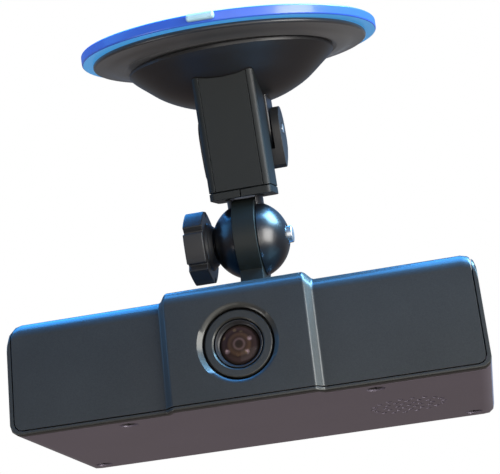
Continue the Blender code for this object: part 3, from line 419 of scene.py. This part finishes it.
def carved(bm, cuts, joined=()):  # other shapes joined to a piece, then more cut from it
    base = added("tool", bm)
    used = []
    for operation, tools in (("UNION", joined), ("DIFFERENCE", cuts)):
        for tool in tools:
            modifier = base.modifiers.new("carve", "BOOLEAN")
            modifier.operation = operation
            modifier.solver = "EXACT"
            modifier.object = added("tool", tool)
            used.append(modifier.object)
    graph = bpy.context.evaluated_depsgraph_get()
    result = bmesh.new()
    result.from_mesh(base.evaluated_get(graph).to_mesh())
    for made in used + [base]:
        bpy.data.objects.remove(made)
    return result


def refined(name, looks, bevel, segments=2, sharp=32, angle=40, reshape=None):
    # a CAD node's own shape with its edges broken, shaded smooth
    bm = bmesh.new()
    bm.from_mesh(nodes[name].data)
    bmesh.ops.scale(bm, vec=(1 / mm,) * 3, verts=bm.verts)
    bmesh.ops.remove_doubles(bm, verts=bm.verts, dist=0.001)
    bmesh.ops.dissolve_limit(bm, angle_limit=radians(0.6), verts=bm.verts, edges=bm.edges)
    if reshape:
        reshape(bm)
    bevelSharp(bm, bevel, segments, angle)
    finished("fine_" + name, bm, looks, nodes[name]["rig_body"], (name,), sharp=sharp)


# the soft cup and its film sit a little lower than the hood's rim and lean to one side
settled = {"down": 1.25, "roll": 0.025, "pivot": Vector((0, 0, -0.007))}
discPlace = (cupPlace @ Matrix.Translation(settled["pivot"]) @ Matrix.Rotation(settled["roll"], 4, "Y")
             @ Matrix.Translation(-settled["pivot"]))


def makeFilm():
    low, high = reach("film", cupPlace)
    film = {"edge": 0.5, "thicker": 0.4, "sag": 0.02, "flat": 2.5}
    r, e = high.x, film["edge"]
    t = high.z - low.z + film["thicker"]
    profile = [(0, 0), (r * 0.5, 0), (r - film["flat"], -film["sag"])] + corner(r - e, -e, e, 90, 0)
    profile += corner(r - e, e - t, e, 0, -90) + [(r * 0.9, -t), (r * 0.5, -t), (0, -t)]
    bm = turned(profile, 160)
    bmesh.ops.translate(bm, vec=(0, 0, -settled["down"]), verts=bm.verts)
    # the underside faces take the copy painted lighter and glowing for light coming through the film; the
    # flat top takes the darker one
    for face in bm.faces:
        middle = face.calc_center_median()
        if middle.xy.length < r - 0.6 * e:
            if middle.z < 0.2 * e - t - settled["down"]:
                face.material_index = 1
            elif face.normal.z > 0.9:
                face.material_index = 2
    finished("protective_film", bm, ["filmEdge", "filmUndersideLit", "filmTop"], "mount", ("film",), discPlace)


def makeTab():
    low, high = reach("pull_tab", cupPlace)
    middle = (low + high) / 2
    tab = {"wide": 7.6, "deep": 1.9, "rounding": 0.7, "bend": 0.02}
    bm = block((tab["wide"], tab["deep"], high.z - low.z), rounding=tab["rounding"], segments=4)
    for vert in bm.verts:
        vert.co.y += tab["bend"] * vert.co.x ** 2  # follows the film's edge
    turn = atan2(middle.y, middle.x) + pi / 2
    bmesh.ops.rotate(bm, matrix=Matrix.Rotation(turn, 3, "Z"), verts=bm.verts)
    bmesh.ops.translate(bm, vec=middle - Vector((0, 0, settled["down"])), verts=bm.verts)
    finished("peel_tab", bm, "tabFilm", "mount", ("pull_tab",), discPlace)


def makeCup():
    low, high = reach("suction_cup", cupPlace)
    cup = {"wider": 0.6, "drop": 1.4, "rim": 1.4, "edge": 0.6, "crease": 31.6, "creaseRise": 5.15,
           "boss": 12.0, "bossEdge": 0.8, "pocket": 8.6, "pocketRise": 1.7, "throat": 3.2, "ceiling": 6.5}
    r, top, foot = high.x + cup["wider"], high.z - cup["drop"], low.z
    under, edge, crease = top - cup["rim"], cup["edge"], foot + cup["creaseRise"]
    shelf, ceiling = foot + cup["pocketRise"], foot + cup["ceiling"]
    profile = [(0, top - 0.75), (r * 0.55, top - 0.6), (r - 4, top - 0.1)]  # hollow glass side
    profile += corner(r - edge, top - edge, edge, 90, 0) + corner(r - edge, under + edge, edge, 0, -80)
    profile += smoothLine([(r - 1.1, under - 0.02), (r - 3.6, under - 0.35), (r - 6.2, under - 0.95),
                           (cup["crease"], crease)], 4)
    profile += [(cup["crease"] - 0.5, crease + 0.25), (27.0, crease + 0.3),
                (cup["boss"] + 1.4, crease + 0.35), (cup["boss"] + 0.4, crease - 0.6)]
    profile += corner(cup["boss"] - cup["bossEdge"], foot + cup["bossEdge"], cup["bossEdge"], 0, -90)
    profile += [(cup["throat"], foot), (cup["throat"], shelf), (cup["pocket"], shelf),
                (cup["pocket"], ceiling), (0, ceiling)]
    finished("rubber_cup", turned(profile, 160), "cupRubber", "mount", ("suction_cup",), discPlace, 40)


def makeHood():
    high = reach("hood", cupPlace)[1]
    # the bowl's outline, as shares of its radius and drops from its rim
    hood = {"curve": [(1.0, -1.2), (0.955, -2.6), (0.88, -4.5), (0.74, -7.9), (0.6, -10.3), (0.45, -12.1),
                      (0.3, -13.0), (0.15, -13.4)],
            "wall": 1.9, "rim": 0.5, "hub": 3.0, "columnWide": 18.8, "columnDeep": 13.0, "columnEdge": 0.5,
            "slot": (30, 3.6, 6.4), "slotRise": 1.3, "bore": 2.9}
    radius, wall, rim, hub = high.x, hood["wall"], hood["rim"], hood["hub"]
    outer = smoothLine([(radius * share, high.z + drop) for share, drop in hood["curve"]], 5)
    inner = [(r - wall, min(z + wall * 0.8, high.z - 0.4)) for r, z in outer if r - wall > hub]
    lip = corner(radius - rim, high.z - rim, rim, 90, 0, 4)
    bowl = turned([(0, inner[-1][1])] + inner[::-1] + lip + outer + [(0, outer[-1][1])], 128)
    finished("hood_bowl", bowl, "hoodPlastic", "mount", ("hood",), cupPlace, 40)

    pin = cupPlace.inverted() @ pinCentre / mm
    half, wide = hood["columnDeep"] / 2, hood["columnWide"] / 2
    top = outer[-1][1] - pin.z + 1.2  # runs up into the bowl
    outline = corner(0, 0, half, 180, 360, 20) + [(half, top), (-half, top)]
    column = upright(slab(outline, -wide, wide, hood["columnEdge"]))
    cuts = [block(hood["slot"], (0, 0, hood["slotRise"])), plug(hood["bore"], 40, -40)]
    finished("hood_column", carved(column, cuts), "hoodPlastic", "mount", (), pinPlace)


makeFilm()
makeTab()
makeCup()
makeHood()
print("cup, film and hood made")


def makeBall():
    low, high = reach("ball_fork", armPlace)
    ball = {"slot": 7.0, "slotTop": 12.5, "bore": 2.2, "spot": 3.2, "spotFloor": 9.6, "knobSeat": 9.9,
            "stem": 3.6, "stemEdge": 0.4, "groove": 2.6, "grooveTop": 1.0, "grooveFoot": 2.6,
            "collar": 5.2, "collarTop": 14.2, "collarEdge": 0.3, "root": 8.0}
    bm = bmesh.new()
    bmesh.ops.create_uvsphere(bm, u_segments=96, v_segments=48, radius=-low.z)
    top, stem, groove = high.z, ball["stem"], ball["groove"]
    collar, shoulder, edge = ball["collar"], ball["collarTop"], ball["collarEdge"]
    neck = turned([(0, top), (stem - ball["stemEdge"], top), (stem, top - ball["stemEdge"]),
                   (stem, top - ball["grooveTop"]), (groove, top - ball["grooveTop"]),
                   (groove, top - ball["grooveFoot"]), (stem, top - ball["grooveFoot"]),
                   (stem, shoulder), (collar - edge, shoulder), (collar, shoulder - edge),
                   (collar, ball["root"]), (0, ball["root"])], 64)
    cuts = [block((ball["slot"], 40, 40), (0, 0, ball["slotTop"] - 20)),
            alongX(plug(ball["bore"], 30, -30)),
            alongX(plug(ball["spot"], 30, ball["spotFloor"], 64)),
            block((10, 30, 30), (-ball["knobSeat"] - 5, 0, 0))]
    finished("split_ball", carved(bm, cuts, [neck]), "glossBlack", "neck", ("ball_fork",), armPlace, 28)


def makeFoot():
    # a round-topped tongue on a screwed plate, flared where they meet
    low, high = reach("foot", headPlace)
    foot = {"thick": 6.4, "strap": 16.0, "edge": 0.45, "flare": 3.0, "bore": 2.2, "wide": 26.0, "deep": 32.0,
            "plate": 3.0, "plateCorner": 3.0, "plateEdge": 0.4, "sink": 2.9, "sinkDepth": 1.6, "hole": 1.6}
    strap, flare, half = foot["strap"] / 2, foot["flare"], foot["thick"] / 2
    base, top = low.z + foot["plate"] / 2, low.z + foot["plate"]
    flank = [(-strap - flare + flare * sin(radians(a)), base + flare - flare * cos(radians(a)))
             for a in (90, 67, 45, 22, 0)]
    outline = corner(0, 0, high.z, -60, 240, 60) + flank + [(-x, y) for x, y in flank[::-1]]
    tongue = upright(slab(outline, -half, half, foot["edge"]))
    plate = slab(cornered(foot["wide"], foot["deep"], foot["plateCorner"]), low.z, top, foot["plateEdge"])
    cuts = [alongX(plug(foot["bore"], 30, -30))]
    for name in sorted(nodes):
        if name.startswith("foot_screw"):
            first, last = reach(name, headPlace)
            middle = (first + last) / 2
            shelf, bottom = top - foot["sinkDepth"], low.z - 2
            hole = turned([(0, top + 2), (foot["sink"], top + 2), (foot["sink"], shelf),
                           (foot["hole"], shelf), (foot["hole"], bottom), (0, bottom)], 32)
            bmesh.ops.translate(hole, vec=(middle.x, middle.y, 0), verts=hole.verts)
            cuts.append(hole)
    finished("tilt_foot", carved(tongue, cuts, [plate]), "tonguePlastic", "camera", ("foot",), headPlace, 28)


def makeBolt():
    low, high = reach("clamp_bolt", armPlace)
    ringLow, ringHigh = reach("bolt_washer", armPlace)
    bolt = {"head": 2.45, "crown": 0.45, "shaft": 1.9, "point": 0.5, "gap": 0.15, "ringBore": 2.2,
            "ringEdge": 0.15}
    shaft, under = bolt["shaft"], ringHigh.x + bolt["gap"]
    profile = domed(bolt["head"], high.x, bolt["crown"], range(0, 91, 15))
    profile += [(bolt["head"], under), (shaft, under), (shaft, low.x + bolt["point"]),
                (shaft - bolt["point"], low.x), (0, low.x)]
    finished("pivot_bolt", alongX(turned(profile, 64)), "steel", "neck", ("clamp_bolt",), armPlace)
    r, bore, edge, a, b = ringHigh.z, bolt["ringBore"], bolt["ringEdge"], ringLow.x, ringHigh.x
    ring = turned([(bore, b), (r - edge, b), (r, b - edge), (r, a + edge), (r - edge, a), (bore, a),
                   (bore, b)], 64)
    finished("bolt_ring", alongX(ring), "steel", "neck", ("bolt_washer",), armPlace)


def makeKnob():
    # flat-topped lobes with crisp edges on a hub
    low, high = reach("knob", armPlace)
    knob = {"radius": 10.5, "lobes": 6, "step": 1.7, "top": 24.0, "foot": 28.0, "hollow": 0.95,
            "shoulder": 0.965, "near": 12.0, "round": 0.35, "hub": 6.4, "dish": 6.6, "dishDepth": 0.7,
            "bore": 2.2, "room": 3.7}
    near, far, hub, seat, dish = knob["near"], -low.x, knob["hub"], -high.x, knob["dish"]
    radius, top, foot, depth = knob["radius"], knob["top"], knob["foot"], knob["dishDepth"]
    shoulder = radius * knob["shoulder"]
    lobe = [(-foot, radius - knob["step"]), (-top, radius), (-top / 2, shoulder),
            (0, radius * knob["hollow"]), (top / 2, shoulder), (top, radius),
            (foot, radius - knob["step"])]
    points = []
    for i in range(knob["lobes"]):
        for side, r in lobe:
            angle = radians(360 / knob["lobes"] * (i + 0.5) + side)
            points.append((r * cos(angle), r * sin(angle)))
    boss = turned([(0, far - 1), (hub + 0.8, near + 1), (hub + 0.4, near - 0.5), (hub, near - 0.8),
                   (hub - 0.2, near - 1.1), (hub - 0.9, seat), (0, seat)], 72)
    cuts = [turned([(0, far + 2), (dish, far + 2), (dish, far - 0.1), (dish - 0.3, far - depth + 0.1),
                    (dish - 1.4, far - depth), (0, far - depth)], 72),
            plug(knob["room"], far + 4, seat + 2),  # for the brass insert
            plug(knob["bore"], far + 4, 0)]
    bm = carved(slab(points, near, far, knob["round"]), cuts, [boss])
    bmesh.ops.rotate(bm, matrix=Matrix.Rotation(-pi / 2, 3, "Y"), verts=bm.verts)
    finished("grip_knob", bm, "blackPlastic", "knob", ("knob",), armPlace, 34)


makeBall()
makeFoot()
makeBolt()
makeKnob()
print("ball head made")


def makeArm():
    arm = {"seat": 0.16, "front": -7.03, "edge": 0.05, "clampEdge": 0.12}
    back = armPlace.inverted()

    def fillWindow(bm):  # the plate seats in its window with no gap
        low, high = reach("arm_front", armPlace)
        middle = (low + high) / 2
        for vert in bm.verts:
            here = back @ (vert.co * mm) / mm
            here.x += arm["seat"] if here.x > 0 else -arm["seat"]
            if here.z < middle.z:
                here.z -= arm["seat"]
            if here.y < middle.y:
                here.y = arm["front"]
            vert.co = armPlace @ (here * mm) / mm

    refined("arm_body", "armPlastic", arm["edge"], 1, sharp=30)
    refined("arm_front", "armPlastic", arm["edge"], 2, sharp=30, reshape=fillWindow)
    refined("clamp_left", "armPlastic", arm["clampEdge"])
    refined("clamp_right", "armPlastic", arm["clampEdge"])


def makeLever():
    lever = {"edge": 0.3, "hub": 4.0, "ease": 0.86, "pinEdge": 0.2}
    back = pinPlace.inverted()

    def easeIn(bm):  # a little slimmer away from its pin, so that it clears the hood when it's lifted
        for vert in bm.verts:
            here = back @ (vert.co * mm) / mm
            away = here.yz.length
            if away > lever["hub"]:
                here.yz *= (lever["hub"] + (away - lever["hub"]) * lever["ease"]) / away
                vert.co = pinPlace @ (here * mm) / mm

    refined("lever", "blackPlastic", lever["edge"], 3, sharp=40, angle=25, reshape=easeIn)
    refined("lever_pin", "steel", lever["pinEdge"])


makeArm()
makeLever()
print("arm made")


def makeLens():
    lens = {"ahead": 2.2, "ringBore": 6.3, "ringLead": 0.35, "ringEdge": 0.4, "mouth": 5.35,
            "tubeEdge": 0.15, "grooves": 4, "pitch": 0.25, "groove": 0.12, "taper": 0.06, "bowl": 1.4}
    ringMiddle = sum(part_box("lens_ring"), Vector()) / 2
    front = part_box("front_cover")[0].y + lens["ahead"] * mm  # the wings' front plane
    place = Matrix.Translation((ringMiddle.x, front, ringMiddle.z)) @ Matrix.Rotation(pi / 2, 4, "X")

    low, high = reach("lens_ring", place)
    r, t, b = high.x, high.z, low.z
    bore, lead, edge = lens["ringBore"], lens["ringLead"], lens["ringEdge"]
    ring = turned([(bore, t - lead), (bore + lead, t)] + corner(r - edge, t - edge, edge, 90, 0, 4)
                  + [(r, b), (bore, b), (bore, t - lead)], 96)
    finished("trim_ring", ring, "casePaint", "camera", ("lens_ring",), place)

    low, high = reach("lens_barrel", place)
    r, t, b = high.x, high.z, low.z
    mouth, edge = lens["mouth"], lens["tubeEdge"]
    baffles = []
    for i in range(lens["grooves"]):  # fine grooves inside the mouth
        z, inset = t - 0.95 - lens["pitch"] * i, lens["taper"] * i
        baffles += [(mouth - inset, z), (mouth + lens["groove"] - inset, z - 0.1)]
    barrel = turned([(mouth, t - 0.7), (r - 0.2, t - 0.02)] + corner(r - edge, t - edge, edge, 90, 0, 3)
                    + [(r, b), (3.3, b), (3.3, -8), (4.3, -8), (4.3, -2.4), (mouth, -2.4)]
                    + baffles[::-1] + [(mouth, t - 0.7)], 96)
    finished("lens_tube", barrel, "blackPlastic", "camera", ("lens_barrel",), place)

    low, high = reach("front_lens", place)
    glass = domed(high.x, high.z, lens["bowl"], range(0, 91, 6)) + [(high.x, low.z), (0, low.z)]
    finished("front_element", turned(glass, 96), "lensGlass", "camera", ("front_lens",), place)


makeLens()
print("lens made")


def makeCase():
    # how far each piece's edges are broken
    case = {"shell": 0.14, "bottom": 0.1, "screw": 0.06, "panel": 0.15, "button": 0.2, "card": 0.12,
            "inlet": 0.1}
    refined("front_cover", "casePaint", case["shell"], sharp=28, angle=50)
    refined("housing", "casePaint", case["shell"], sharp=28, angle=50)
    refined("bottom_cover", "caseBottom", case["bottom"], 1, sharp=28, angle=50)
    for name in nodes:
        if name.startswith("case_screw"):
            refined(name, "darkSteel", case["screw"], 1)
    refined("rear_panel", "blackPlastic", case["panel"])
    refined("record_button", "blackPlastic", case["button"], 3)
    refined("lock_button", "blackPlastic", case["button"], 3)
    refined("memory_card", "blackPlastic", case["card"])
    refined("power_inlet", "steel", case["inlet"], 1)


def dressNodes():  # every CAD node gets its slot's finish, hidden ones too
    slotFinish = {"case_paint": "casePaint", "case_bottom": "caseBottom", "black_plastic": "blackPlastic",
                  "arm_plastic": "armPlastic", "gloss_black": "glossBlack", "cup_rubber": "cupRubber",
                  "blue_film": "filmEdge", "steel": "steel", "brass": "brass", "lens_glass": "lensGlass",
                  "circuit_board": "circuitBoard", "chip_black": "chipBlack", "cell_wrap": "cellWrap",
                  "light_guide": "lightGuide"}
    for name, node in nodes.items():
        node.data.materials.clear()
        node.data.materials.append(finishes[slotFinish[slotOf[name]]].material)


makeCase()
dressNodes()
print("case made")


def makeFloor():
    stage = {"height": -0.95, "size": 12.0, "pale": (0.8, 0.8, 0.81, 1.0), "paler": (0.86, 0.86, 0.86, 1.0)}
    bm = bmesh.new()
    bmesh.ops.create_grid(bm, x_segments=1, y_segments=1, size=stage["size"])
    bmesh.ops.translate(bm, vec=(0, 0, stage["height"]), verts=bm.verts)
    floor = added("floor", bm)
    # it glows evenly, so that the tinted lamps don't colour it
    pale = Finish("paleFloor", (0.02, 0.02, 0.02), 0.9,
                  fixed={"Emission Strength": 1.0, "Specular IOR Level": 0.0})
    pale.feed("Emission Color", pale.blend(pale.noise(pale.place(), 1.5), stage["pale"], stage["paler"]))
    pale.material.cycles.emission_sampling = "NONE"
    floor.data.materials.append(pale.material)
    floor.visible_diffuse = False
    floor.visible_glossy = False


lamps = {  # the blue ones give the upper faces their sky reflections
    "sky": {"place": (0.05, 0.08, 0.85), "aim": (0.02, 0, -0.1), "size": (1.5, 1.0), "power": 62.0,
            "colour": (0.04, 0.34, 1.0)},
    "window": {"place": (0.6, 0.02, 0.6), "aim": (0.06, 0, -0.1), "size": (0.45, 0.6), "power": 36.0,
               "colour": (0.34, 0.7, 1.0)},
    "right": {"place": (0.85, -0.5, -0.1), "aim": (0.03, 0, -0.1), "size": (0.5, 0.6), "power": 12.0,
              "colour": (1.0, 0.98, 0.95)},
    "left": {"place": (-0.85, -0.2, 0.35), "aim": (0, 0, -0.06), "size": (0.5, 0.5), "power": 2.0,
             "colour": (0.1, 0.45, 1.0)},
    "front": {"place": (0.35, -1.15, -0.4), "aim": (0, 0, -0.09), "size": (1.2, 0.8), "power": 6.6,
              "colour": (1.0, 0.97, 0.92)},
    "low": {"place": (-0.75, -0.4, -0.6), "aim": (-0.02, 0, -0.02), "size": (0.4, 0.4), "power": 3.0,
            "colour": (1.0, 0.97, 0.97)},
}


def makeLamp(name, place, aim, size, power, colour):
    data = bpy.data.lights.new(name, "AREA")
    data.shape = "RECTANGLE"
    data.size, data.size_y = size
    data.energy = power
    data.color = colour
    lamp = bpy.data.objects.new(name, data)
    lamp.location = place
    lamp.rotation_euler = (Vector(aim) - Vector(place)).to_track_quat("-Z", "Y").to_euler()
    bpy.context.scene.collection.objects.link(lamp)


def makeWorld():  # white behind the object, while its surfaces reflect a warm ground and a blue sky
    glow = [(0.0, (0.13, 0.105, 0.11)), (0.42, (0.15, 0.125, 0.12)), (0.52, (0.26, 0.255, 0.25)),
            (0.7, (0.16, 0.26, 0.45)), (1.0, (0.05, 0.2, 0.6))]
    world = bpy.data.worlds.new("studio")
    made = Tree(world)
    ways = made.node("ShaderNodeTexCoord", output="Generated")
    height = made.node("ShaderNodeSeparateXYZ", None, {"Vector": ways}, output="Z")
    share = made.node("ShaderNodeMapRange", None, {"Value": height, "From Min": -1.0, "From Max": 1.0})
    soft = made.node("ShaderNodeBackground", None, {"Color": made.ramp(share, glow), "Strength": 1.0})
    white = made.node("ShaderNodeBackground", None, {"Color": (1.0, 1.0, 1.0, 1.0)})
    seen = made.node("ShaderNodeLightPath", output="Is Camera Ray")
    pick = made.node("ShaderNodeMixShader", None, {0: seen, 1: soft, 2: white})
    made.tree.links.new(pick.socket, made.tree.nodes["World Output"].inputs["Surface"])
    bpy.context.scene.world = world
    bpy.context.scene.view_settings.view_transform = "Standard"


def makeCamera():  # looks up from below, a little to the right of the lens, and rolled
    camera = {"place": (0.0526, -0.3302, -0.1778), "right": (0.97791, 0.177, -0.11122),
              "up": (0.16121, -0.29981, 0.94028), "back": (0.13308, -0.93743, -0.32172),
              "lens": 90.0, "sensor": 36.0, "shift": -0.04, "nearest": 0.01}
    data = bpy.data.cameras.new("camera")
    data.lens = camera["lens"]
    data.sensor_width = camera["sensor"]
    data.shift_x = camera["shift"]
    data.clip_start = camera["nearest"]
    data.dof.use_dof = False
    made = bpy.data.objects.new("camera", data)
    turn = Matrix((camera["right"], camera["up"], camera["back"])).transposed().to_4x4()
    made.matrix_world = Matrix.Translation(camera["place"]) @ turn
    bpy.context.scene.collection.objects.link(made)
    bpy.context.scene.camera = made


makeFloor()
for name, lamp in lamps.items():
    makeLamp(name, **lamp)
makeWorld()
makeCamera()
print("stage made")
